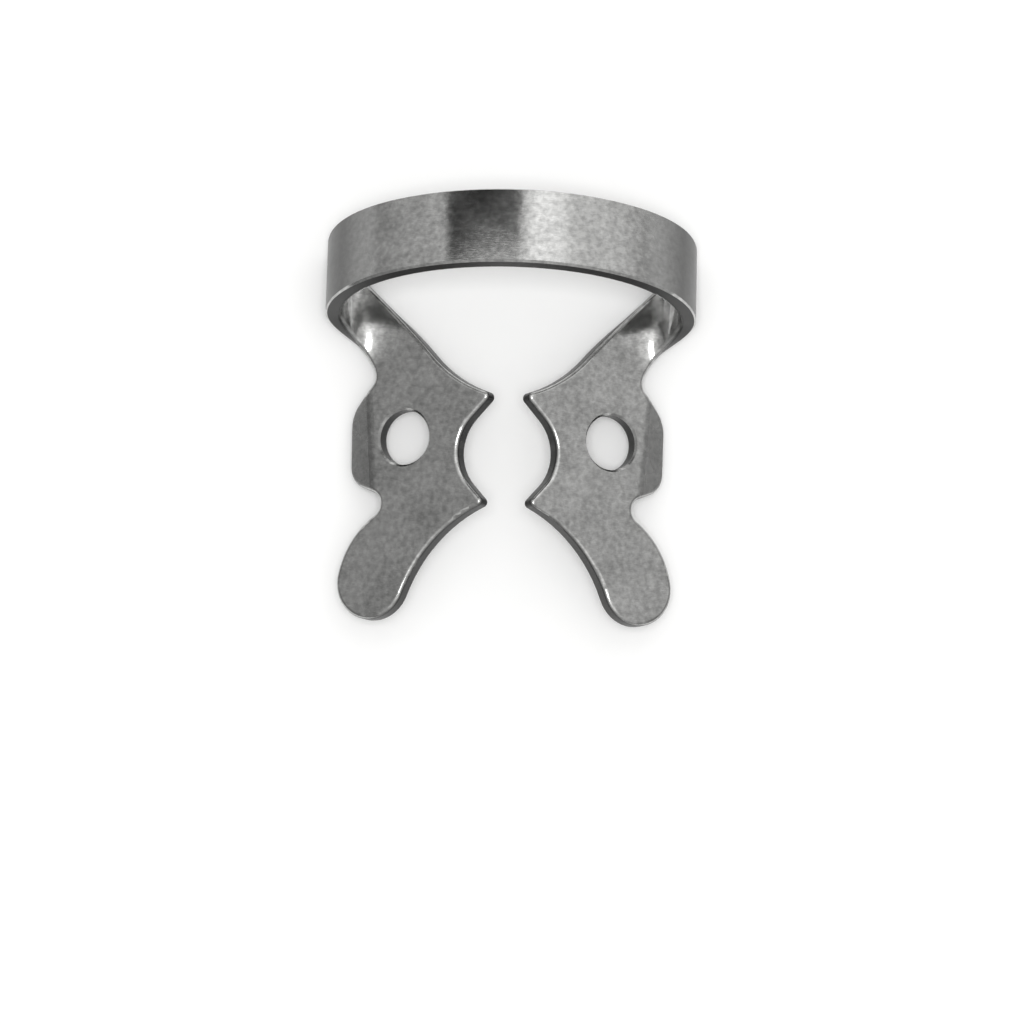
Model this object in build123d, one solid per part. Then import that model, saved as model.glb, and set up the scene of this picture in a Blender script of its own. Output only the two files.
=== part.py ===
from build123d import *
import os
from math import acos, atan2, cos, hypot, radians, sin, tan

# Winged premolar rubber dam clamp, stamped from spring steel sheet and bent as one piece.
# Working frame: +X to the right, +Y towards the bow (distal), +Z away from the gum.
# Its origin lies midway between the two forceps holes, on the upper face. Lengths are in mm,
# angles in degrees.

# Sheet: the press rounds the edges of its upper face, and the other edges are only broken
sheet = 0.95
edge_round = 0.24
edge_break = 0.12
sharp_angle = 45.0

# Bow: an upright elliptical hoop of flat strip that leans back over the jaws
bow_half_width = 10.70
bow_rise = 7.67
bow_strip = 4.65
bow_lean = 16.0
bow_front_y = 6.82
bow_foot_height = 1.20

# Jaw plates: each slopes down outwards, and is drawn from its forceps hole
jaw_slope = 28.0
hole_spacing = 12.0
hole_diameter = 3.20

# Gripping edge of a jaw: an arc with straight flares out to the two prongs. Each gap is
# measured level across the relaxed clamp, from one jaw's upper face to the other's.
grip_radius = 2.75
grip_gap = 5.78
grip_centre_y = -1.00
distal_prong_gap = 1.93
distal_prong_y = 2.30
mesial_prong_gap = 2.57
mesial_prong_y = -4.05
distal_prong_round = 0.32
mesial_prong_round = 0.28

# Arm root, where the flat jaw starts to fold up into the bow
root_rear = (-1.60, 4.85)
root_front = (2.12, 3.99)
rear_edge_heading = 48.5
front_edge_heading = 70.0
rear_fold_reach = 3.2
rear_fold_drop = 2.2
front_fold_reach = 1.0
front_fold_drop = 1.4

# Central wing, bent down along a slanted crease that passes by the forceps hole
wing_reach = 3.72
wing_shoulder = 47.7
wing_bottom_y = -2.40
wing_top_round = 2.0
wing_bottom_round = 1.3
neck_round = 0.7
neck_lead = 0.11
wing_bend = 15.0
wing_bend_radius = 1.0
crease_gap = 0.18
crease_slant = 4.5

# Anterior wing: a round paddle beyond the notch
notch = (0.35, -3.75)
notch_round = 0.75
paddle_centre = (2.02, -8.28)
paddle_radius = 2.22
paddle_outer_angle = 12.0
paddle_inner_angle = 202.0

# Resting pose: the search for the pitch stops at this many halvings of the steepest one
steepest_rest = 30.0
rest_halvings = 40
rest_tolerance = 0.01


def jaw_plane():
    """Upper face of the right jaw: x runs down and outwards, y distally."""
    slope = radians(jaw_slope)
    return Plane(
        origin=(hole_spacing / 2, 0, 0),
        x_dir=(cos(slope), 0, -sin(slope)),
        z_dir=(sin(slope), 0, cos(slope)),
    )


def bow_plane():
    """Front face of the bow: x to the right, y up the leaning hoop, z towards the jaws."""
    lean = radians(bow_lean)
    return Plane(
        origin=(0, bow_front_y, bow_foot_height),
        x_dir=(1, 0, 0),
        z_dir=(0, -cos(lean), sin(lean)),
    )


def tangent_point(centre, radius, tip, turn):
    """Where the line from tip touches the circle; turn is +1 or -1 for the side."""
    away = atan2(tip[1] - centre[1], tip[0] - centre[0])
    swing = acos(radius / hypot(tip[0] - centre[0], tip[1] - centre[1]))
    angle = away + turn * swing
    return (centre[0] + radius * cos(angle), centre[1] + radius * sin(angle))


def jaw_x(gap):
    """Where a point lies along the jaw, if that gap is between it and its mirror image."""
    return (gap - hole_spacing) / 2 / cos(radians(jaw_slope))


def neck_corner():
    """Corner of the neck before it is rounded, on the line of the arm's front edge."""
    heading = radians(front_edge_heading)
    turn = radians(180 - front_edge_heading - wing_shoulder)
    run = neck_lead + neck_round * tan(turn / 2)
    return (root_front[0] - run * cos(heading), root_front[1] - run * sin(heading))


def on_paddle(angle):
    """Point of the anterior wing's round end, and the way its outline runs there."""
    a = radians(angle)
    point = (paddle_centre[0] + paddle_radius * cos(a), paddle_centre[1] + paddle_radius * sin(a))
    return point, (-sin(a), cos(a))


def jaw_outline():
    """Outline of the right jaw and its wings, with every corner rounded."""
    neck = neck_corner()
    wing_top = (wing_reach, neck[1] - (wing_reach - neck[0]) * tan(radians(wing_shoulder)))
    wing_bottom = (wing_reach, wing_bottom_y)
    distal_prong = (jaw_x(distal_prong_gap), distal_prong_y)
    mesial_prong = (jaw_x(mesial_prong_gap), mesial_prong_y)
    grip_middle = (jaw_x(grip_gap), grip_centre_y)
    grip_centre = (grip_middle[0] - grip_radius, grip_centre_y)
    grip_top = tangent_point(grip_centre, grip_radius, distal_prong, -1)
    grip_bottom = tangent_point(grip_centre, grip_radius, mesial_prong, 1)
    outer_end, outer_way = on_paddle(paddle_outer_angle)
    inner_end, inner_way = on_paddle(paddle_inner_angle)
    paddle_tip, _ = on_paddle((paddle_outer_angle + paddle_inner_angle - 360) / 2)
    heading = radians(rear_edge_heading)
    edges = [
        Line(root_rear, root_front),
        Line(root_front, neck),
        Line(neck, wing_top),
        Line(wing_top, wing_bottom),
        Line(wing_bottom, notch),
        TangentArc(outer_end, notch, tangent=outer_way),
        ThreePointArc(outer_end, paddle_tip, inner_end),
        TangentArc(inner_end, mesial_prong, tangent=(-inner_way[0], -inner_way[1])),
        Line(mesial_prong, grip_bottom),
        ThreePointArc(grip_bottom, grip_middle, grip_top),
        Line(grip_top, distal_prong),
        TangentArc(root_rear, distal_prong, tangent=(-cos(heading), -sin(heading))),
    ]
    outline = make_face(edges)
    rounds = [
        (neck, neck_round),
        (wing_top, wing_top_round),
        (wing_bottom, wing_bottom_round),
        (notch, notch_round),
        (mesial_prong, mesial_prong_round),
        (distal_prong, distal_prong_round),
    ]
    for corner, radius in rounds:
        outline = fillet(outline.vertices().sort_by_distance((*corner, 0))[0], radius)
    return outline


def crease_frame():
    """Frame at the crease of the central wing: x across it and outwards, y along it."""
    slant = radians(crease_slant)
    reach = hole_diameter / 2 + edge_break + crease_gap
    return Plane(
        origin=(reach * cos(slant), -reach * sin(slant), 0),
        x_dir=(cos(slant), -sin(slant), 0),
        z_dir=(0, 0, 1),
    )


def bent_wing(outline):
    """Part of the outline beyond the crease, rolled down along it."""
    jaw = jaw_plane()
    crease = crease_frame()
    run = 2 * wing_reach
    turn = radians(wing_bend)
    centre = (0, -sheet - wing_bend_radius)
    upper_bend = CenterArc(centre, wing_bend_radius + sheet, 90, -wing_bend)
    lower_bend = CenterArc(centre, wing_bend_radius, 90, -wing_bend)
    ahead = Vector(cos(turn), -sin(turn)) * run
    upper_flat = Line(upper_bend @ 1, (upper_bend @ 1) + ahead)
    lower_flat = Line(lower_bend @ 1, (lower_bend @ 1) + ahead)
    root = Line(upper_bend @ 0, lower_bend @ 0)
    end = Line(upper_flat @ 1, lower_flat @ 1)
    section = Plane(origin=crease.origin, x_dir=crease.x_dir, z_dir=-crease.y_dir)
    profile = make_face([upper_bend, lower_bend, upper_flat, lower_flat, root, end])
    rolled = jaw.location * extrude(section * profile, run, both=True)
    blank = extrude(jaw * outline, run, both=True)
    return rolled & blank


def jaw_plate():
    """Right jaw: flat plate with a punched forceps hole, and the central wing bent down."""
    jaw = jaw_plane()
    outline = jaw_outline()
    top = root_front[1]
    strip = Rectangle(2 * wing_reach, top - notch[1], align=(Align.MIN, Align.CENTER))
    beyond = crease_frame() * Pos(0, (top + notch[1]) / 2) * strip
    wing = outline & beyond
    flat = extrude(jaw * (outline - beyond - Circle(hole_diameter / 2)), -sheet)
    return flat + bent_wing(wing)


def bow():
    """Elliptical hoop of strip, from one widest point over the crown to the other."""
    outer = EllipticalCenterArc((0, 0), bow_half_width, bow_rise, 0, arc_size=180)
    inner = EllipticalCenterArc((0, 0), bow_half_width - sheet, bow_rise - sheet, 0, arc_size=180)
    feet = [Line(outer @ 0, inner @ 0), Line(outer @ 1, inner @ 1)]
    return extrude(bow_plane() * make_face([outer, inner] + feet), -bow_strip)


def fold_rail(strip_place, root, heading, drop, reach, lower_face):
    """One edge of the fold, from the foot of the bow down and round to the root of the arm."""
    hoop = bow_plane()
    jaw = jaw_plane()
    side = bow_half_width if lower_face else bow_half_width - sheet
    level = -sheet if lower_face else 0
    gain = 4 / 3 * tan(radians(90 + jaw_slope) / 4) * sheet if lower_face else 0
    way = (cos(radians(heading)) * (reach + gain), sin(radians(heading)) * (reach + gain))
    return Bezier(
        hoop.from_local_coords((side, 0, -strip_place)),
        hoop.from_local_coords((side, -drop - gain, -strip_place)),
        jaw.from_local_coords((root[0] + way[0], root[1] + way[1], level)),
        jaw.from_local_coords((root[0], root[1], level)),
    )


def fold():
    """Right fold: tight at its front edge, wide at its rear edge, and ruled between the two."""
    front = [
        fold_rail(0, root_front, front_edge_heading, front_fold_drop, front_fold_reach, lower)
        for lower in (False, True)
    ]
    rear = [
        fold_rail(bow_strip, root_rear, rear_edge_heading, rear_fold_drop, rear_fold_reach, lower)
        for lower in (False, True)
    ]
    corners = [front[0], rear[0], rear[1], front[1]]
    walls = []
    for rail, following in zip(corners, corners[1:] + corners[:1]):
        walls.append(Face.make_surface_from_curves(rail.edge(), following.edge()))
    caps = [Face(Wire.make_polygon([rail @ end for rail in corners])) for end in (0, 1)]
    return Solid(Shell(walls + caps))


def sharp_edges(solid):
    """Edges where a face of the sheet meets its cut side."""
    found = []
    for edge in solid.edges():
        middle = edge @ 0.5
        sides = [face for face in solid.faces() if edge in face.edges()]
        if len(sides) == 2:
            angle = sides[0].normal_at(middle).get_angle(sides[1].normal_at(middle))
            if angle > sharp_angle:
                found.append(edge)
    return found


def rolled_edges(solid):
    """The loop of sharp edges round the sheet's upper face, which the press leaves rounded."""
    corner = jaw_plane().from_local_coords((*root_front, 0))
    loops = Wire.combine(sharp_edges(solid))
    return min(loops, key=lambda loop: loop.distance_to(corner)).edges()


def resting_pitch(solid):
    """Pitch about x at which the lowest point passes from one side of the weight to the other."""
    weight = solid.center()
    points = [point - weight for point in solid.tessellate(rest_tolerance)[0]]
    low = -steepest_rest
    high = steepest_rest
    for _ in range(rest_halvings):
        pitch = (low + high) / 2
        rise = sin(radians(pitch))
        level = cos(radians(pitch))
        foot = min(points, key=lambda point: point.Y * rise + point.Z * level)
        if foot.Y * level - foot.Z * rise > 0:
            low = pitch
        else:
            high = pitch
    return pitch


def at_rest(solid):
    """The clamp as it lies on a floor, with the middle of its foot at the origin."""
    lying = solid.rotate(Axis.X, resting_pitch(solid))
    box = lying.bounding_box()
    return Pos(-box.center().X, -box.center().Y, -box.min.Z) * lying


right = [jaw_plate(), fold()]
left = [piece.mirror(Plane.YZ) for piece in right]
bent = (bow() + right + left).solid()
rolled = bent.fillet(edge_round, rolled_edges(bent))
clamp = at_rest(rolled.chamfer(edge_break, None, sharp_edges(rolled)))

os.makedirs("parts", exist_ok=True)
export_step(clamp, "parts/clamp.step")
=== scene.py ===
from math import copysign, radians

import bmesh
import bpy
from mathutils.bvhtree import BVHTree
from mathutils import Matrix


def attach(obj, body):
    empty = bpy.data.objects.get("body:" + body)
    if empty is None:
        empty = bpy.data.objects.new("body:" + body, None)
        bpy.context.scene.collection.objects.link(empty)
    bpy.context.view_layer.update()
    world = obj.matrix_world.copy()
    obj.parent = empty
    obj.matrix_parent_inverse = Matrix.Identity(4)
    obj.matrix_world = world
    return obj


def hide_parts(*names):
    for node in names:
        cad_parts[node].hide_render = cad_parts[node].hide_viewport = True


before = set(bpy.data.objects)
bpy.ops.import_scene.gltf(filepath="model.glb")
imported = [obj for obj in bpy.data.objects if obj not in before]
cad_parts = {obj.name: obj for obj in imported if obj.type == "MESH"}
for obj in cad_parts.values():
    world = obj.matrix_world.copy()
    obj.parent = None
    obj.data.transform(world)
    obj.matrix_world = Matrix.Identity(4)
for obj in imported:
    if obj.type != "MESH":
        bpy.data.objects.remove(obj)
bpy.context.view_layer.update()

# Lengths and places are in metres, angles in degrees, greys in linear light and lamp powers in watts

# Camera: it looks straight down on the resting clamp, with lens and sensor in millimetres
camera_place = (0.00036, -0.00598, 0.442)
camera_roll = 1.46
camera_lens = 267.3
camera_sensor = 36
camera_near = 0.01

# Greys of the steel, from its shaded cut sides to its brightest specks, and how far along the middle one
# lies
# The darkest grey is painted shade on the cut sides and sideways faces, besides the darker sheared steel of
# the cut sides
cut_side_and_shade_grey = 0.07
steel_dark = 0.32
steel_light = 0.60
dark_position = 0.6

# The steel and the room have a little less blue than a plain grey
blue_share = 0.99

# Plain matt finishes of the stage
table_white = 0.97
table_gloss = 0.0
flag_black = 0.04
flag_gloss = 0.5
matt_roughness = 0.9

# Grains of the steel: fine mottling, wide clouds, and scratches that run aslant
mottle_size = 0.00032
mottle_detail = 5.0
cloud_size = 0.0024
cloud_detail = 2.0
scratch_size = 0.00030
scratch_detail = 2.0
scratch_stretch = (1, 7, 1)
scratch_turn = 62

# Where the noise mostly lies, and what it becomes: tones of the steel, and haze on top of its roughness
noise_range = (0.30, 0.70)
cloud_range = (0.35, 0.65)
speckle_tone = (0.53, 0.85)
patch_tone = (0.0, 0.12)
streak_tone = (0.0, 0.12)
haze_roughness = (0.0, 0.08)

# Roughness from the dull cut sides to the polished faces
satin_roughness = (0.36, 0.12)

# Relief of the grains
relief_depth = 0.00003
pit_strength = 0.08
scratch_strength = 0.06

# Polish and painted shade: a ray into the steel meets the far side of the sheet squarely behind its faces,
# aslant behind its rounded edges, which are left undarkened, and far away or almost sideways behind its cut
# sides, which are duller and get painted shade
sheet_depth = 0.00105
edge_depth = 0.00138
cut_depth = 0.0021
sheet_facing = 0.90
edge_facing = 0.62
cut_facing = 0.35

# The sheet's faces get painted shade in their colour, and are made duller, where they look sideways, from 0
# for not at all to 1 for fully
side_start = 0.50
side_end = 0.85
side_shade_and_dullness = 0.85

# A ray starts a little way from its corner towards the middle of the face, and just under the surface
ray_inset = 0.35
ray_start = 0.00001
merge_distance = 0.000002

# Stage: a table, a soft box overhead, and a black flag and a small lamp that the bow's crown reflects
table_size = 2.0
overhead_place = (0, 0, 0.60)
overhead_size = 0.16
overhead_power = 1.35
flag_place = (-0.0068, 0.0323, 0.0177)
flag_tilt = -48
flag_size = 0.017
crown_place = (0.083, 0.26, 0.24)
crown_tilt = -47
crown_turn = -19
crown_size = 0.095
crown_power = 0.018

# Room: greys by height, from 0 at the horizon to 1 overhead, and strengths by side and towards the rear
room_greys = [(0.0, 0.36), (0.35, 0.42), (0.60, 0.52), (0.80, 0.66), (0.90, 1.0), (1.0, 1.15)]
side_range = (-1, 1)
side_strength = (0.74, 1.26)
rear_range = (0.15, 0.65)
rear_strength = (0.95, 1.75)


def new_material(name):
    """A new node material, its node tree and its Principled shader."""
    material = bpy.data.materials.new(name)
    material.use_nodes = True
    tree = material.node_tree
    return material, tree, tree.nodes["Principled BSDF"]


def grain(tree, size, detail, stretch=(1, 1, 1), turn=0):
    """Noise on the object's own coordinates, with grains of that size."""
    place = tree.nodes.new("ShaderNodeTexCoord")
    mapping = tree.nodes.new("ShaderNodeMapping")
    mapping.inputs["Scale"].default_value = stretch
    mapping.inputs["Rotation"].default_value = (0, 0, radians(turn))
    noise = tree.nodes.new("ShaderNodeTexNoise")
    noise.inputs["Scale"].default_value = 1 / size
    noise.inputs["Detail"].default_value = detail
    tree.links.new(place.outputs["Object"], mapping.inputs["Vector"])
    tree.links.new(mapping.outputs["Vector"], noise.inputs["Vector"])
    return noise.outputs["Fac"]


def spread(tree, value, found, wanted):
    """Stretches a value from the range where it is found to the wanted one, and holds it there."""
    node = tree.nodes.new("ShaderNodeMapRange")
    node.inputs["From Min"].default_value = found[0]
    node.inputs["From Max"].default_value = found[1]
    node.inputs["To Min"].default_value = wanted[0]
    node.inputs["To Max"].default_value = wanted[1]
    tree.links.new(value, node.inputs["Value"])
    return node.outputs["Result"]


def grey_scale(tree, factor, stops):
    """A grey that runs through stops of position and brightness."""
    ramp = tree.nodes.new("ShaderNodeValToRGB")
    elements = ramp.color_ramp.elements
    for i, (position, grey) in enumerate(stops):
        stop = elements[i] if i < 2 else elements.new(position)
        stop.position = position
        stop.color = (grey, grey, grey * blue_share, 1)
    tree.links.new(factor, ramp.inputs["Fac"])
    return ramp.outputs["Color"]


def combine(tree, operation, first, second):
    """Adds or multiplies two values."""
    node = tree.nodes.new("ShaderNodeMath")
    node.operation = operation
    tree.links.new(first, node.inputs[0])
    tree.links.new(second, node.inputs[1])
    return node.outputs["Value"]


def relief(tree, height, strength, below=None):
    """Shallow bumps from a grain, on top of an earlier relief where there is one."""
    node = tree.nodes.new("ShaderNodeBump")
    node.inputs["Strength"].default_value = strength
    node.inputs["Distance"].default_value = relief_depth
    tree.links.new(height, node.inputs["Height"])
    if below:
        tree.links.new(below, node.inputs["Normal"])
    return node.outputs["Normal"]


def steel_with_painted_shade():
    """Satin spring steel with painted shade: darker where its faces look sideways, dark and dull on its cut
    sides, partly from their sheared finish and partly as painted shade.
    """
    material, tree, shader = new_material("steel_with_painted_shade")
    shader.inputs["Metallic"].default_value = 1.0
    polish_and_shade = tree.nodes.new("ShaderNodeAttribute")
    polish_and_shade.attribute_name = "polish_and_shade"
    polish_and_shade_fac = polish_and_shade.outputs["Fac"]
    mottle = grain(tree, mottle_size, mottle_detail)
    cloud = grain(tree, cloud_size, cloud_detail)
    scratch = grain(tree, scratch_size, scratch_detail, scratch_stretch, scratch_turn)

    speckle = spread(tree, mottle, noise_range, speckle_tone)
    patches = spread(tree, cloud, cloud_range, patch_tone)
    streaks = spread(tree, scratch, noise_range, streak_tone)
    spots = combine(tree, "ADD", speckle, patches)
    tone = combine(tree, "ADD", spots, streaks)
    # Painted shade: the polish attribute darkens the colour of sideways faces and cut sides
    shade = combine(tree, "MULTIPLY", tone, polish_and_shade_fac)
    greys = [(0.0, cut_side_and_shade_grey), (dark_position, steel_dark), (1.0, steel_light)]
    tree.links.new(grey_scale(tree, shade, greys), shader.inputs["Base Color"])

    satin = spread(tree, polish_and_shade_fac, (0.0, 1.0), satin_roughness)
    haze = spread(tree, cloud, noise_range, haze_roughness)
    tree.links.new(combine(tree, "ADD", satin, haze), shader.inputs["Roughness"])
    pits = relief(tree, mottle, pit_strength)
    tree.links.new(relief(tree, scratch, scratch_strength, pits), shader.inputs["Normal"])
    return material


def matt_paint(name, grey, gloss):
    """A plain matt finish for the stage."""
    material, _, shader = new_material(name)
    shader.inputs["Base Color"].default_value = (grey, grey, grey, 1)
    shader.inputs["Roughness"].default_value = matt_roughness
    shader.inputs["Specular IOR Level"].default_value = gloss
    return material


def link_mesh(name, bm, material):
    """Turns a bmesh into an object of the scene with one material."""
    mesh = bpy.data.meshes.new(name)
    bm.to_mesh(mesh)
    bm.free()
    mesh.materials.append(material)
    piece = bpy.data.objects.new(name, mesh)
    bpy.context.scene.collection.objects.link(piece)
    return piece


def share(value, start, end):
    """How far a value has come from start to end, from 0 to 1."""
    return min(1.0, max(0.0, (value - start) / (end - start)))


def polish_and_shade_at(depth, facing, sideways):
    """The polish and painted shade of a face, by how deep and how squarely the steel behind it ends, and
    where it looks.
    """
    if depth < sheet_depth and facing > sheet_facing:
        # Painted shade: faces that look sideways are darkened, and made rougher
        return 1 - side_shade_and_dullness * share(sideways, side_start, side_end)
    return 1 - max(share(depth, edge_depth, cut_depth), share(facing, edge_facing, cut_facing))


def polish_and_shade_of(solid):
    """The polish and painted shade at each corner of the mesh, felt out by a ray into the steel."""
    points = [vertex.co for vertex in solid.vertices]
    surface = BVHTree.FromPolygons(points, [face.vertices for face in solid.polygons])
    polish_and_shade = []
    for face in solid.polygons:
        for corner, vertex in zip(face.loop_indices, face.vertices):
            normal = solid.corner_normals[corner].vector
            inside = points[vertex].lerp(face.center, ray_inset) - normal * ray_start
            _, far_side, _, depth = surface.ray_cast(inside, -normal)
            facing = -normal.dot(far_side) if far_side else 0.0
            sideways = normal.x * copysign(1, face.center.x)
            polish_and_shade.append(polish_and_shade_at(depth or 0.0, facing, sideways))
    return polish_and_shade


def clamp_piece():
    """The clamp's own mesh, merged, with the true normals of its bends and rounded edges."""
    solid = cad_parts["clamp"].data
    bm = bmesh.new()
    bm.from_mesh(solid)
    bmesh.ops.remove_doubles(bm, verts=bm.verts, dist=merge_distance)
    for face in bm.faces:
        face.smooth = True
    piece = link_mesh("clamp_steel", bm, steel_with_painted_shade())
    piece.data.normals_split_custom_set([corner.vector for corner in solid.corner_normals])
    # The attribute paints shade into the steel's colour on sideways faces and cut sides, and sets its
    # roughness
    polish_and_shade = piece.data.attributes.new("polish_and_shade", "FLOAT", "CORNER")
    polish_and_shade.data.foreach_set("value", polish_and_shade_of(solid))
    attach(piece, "root")
    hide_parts("clamp")


def flat_card(name, size, place, tilt, material):
    """A square card, part of the stage only."""
    bm = bmesh.new()
    bmesh.ops.create_grid(bm, x_segments=1, y_segments=1, size=size / 2)
    card = link_mesh(name, bm, material)
    card.location = place
    card.rotation_euler = (radians(tilt), 0, 0)
    return card


def crown_flag():
    """A small black card close behind the bow, which shows only in the steel's reflections."""
    paint = matt_paint("black_card", flag_black, flag_gloss)
    flag = flat_card("dark_card", flag_size, flag_place, flag_tilt, paint)
    flag.visible_camera = False
    flag.visible_diffuse = False
    flag.visible_shadow = False


def soft_box(name, place, tilt, turn, size, power):
    """A square area lamp."""
    lamp = bpy.data.lights.new(name, "AREA")
    lamp.shape = "SQUARE"
    lamp.size = size
    lamp.energy = power
    box = bpy.data.objects.new(name, lamp)
    box.location = place
    box.rotation_euler = (radians(tilt), 0, radians(turn))
    bpy.context.scene.collection.objects.link(box)


def pale_room():
    """Grey walls around the table, darker at the horizon than overhead, lighter behind and on the right."""
    world = bpy.data.worlds.new("pale_room")
    bpy.context.scene.world = world
    world.use_nodes = True
    tree = world.node_tree
    place = tree.nodes.new("ShaderNodeTexCoord")
    split = tree.nodes.new("ShaderNodeSeparateXYZ")
    tree.links.new(place.outputs["Generated"], split.inputs["Vector"])
    walls = tree.nodes["Background"]
    tree.links.new(grey_scale(tree, split.outputs["Z"], room_greys), walls.inputs["Color"])
    right = spread(tree, split.outputs["X"], side_range, side_strength)
    behind = spread(tree, split.outputs["Y"], rear_range, rear_strength)
    tree.links.new(combine(tree, "MULTIPLY", right, behind), walls.inputs["Strength"])


def overhead_camera():
    """The photograph's view, from straight above."""
    data = bpy.data.cameras.new("overhead")
    data.lens = camera_lens
    data.sensor_width = camera_sensor
    data.clip_start = camera_near
    camera = bpy.data.objects.new("overhead", data)
    camera.location = camera_place
    camera.rotation_euler = (0, 0, radians(camera_roll))
    bpy.context.scene.collection.objects.link(camera)
    bpy.context.scene.camera = camera


clamp_piece()
flat_card("table", table_size, (0, 0, 0), 0, matt_paint("white_table", table_white, table_gloss))
crown_flag()
soft_box("overhead_box", overhead_place, 0, 0, overhead_size, overhead_power)
soft_box("crown_box", crown_place, crown_tilt, crown_turn, crown_size, crown_power)
pale_room()
overhead_camera()
bpy.context.scene.view_settings.view_transform = "Standard"
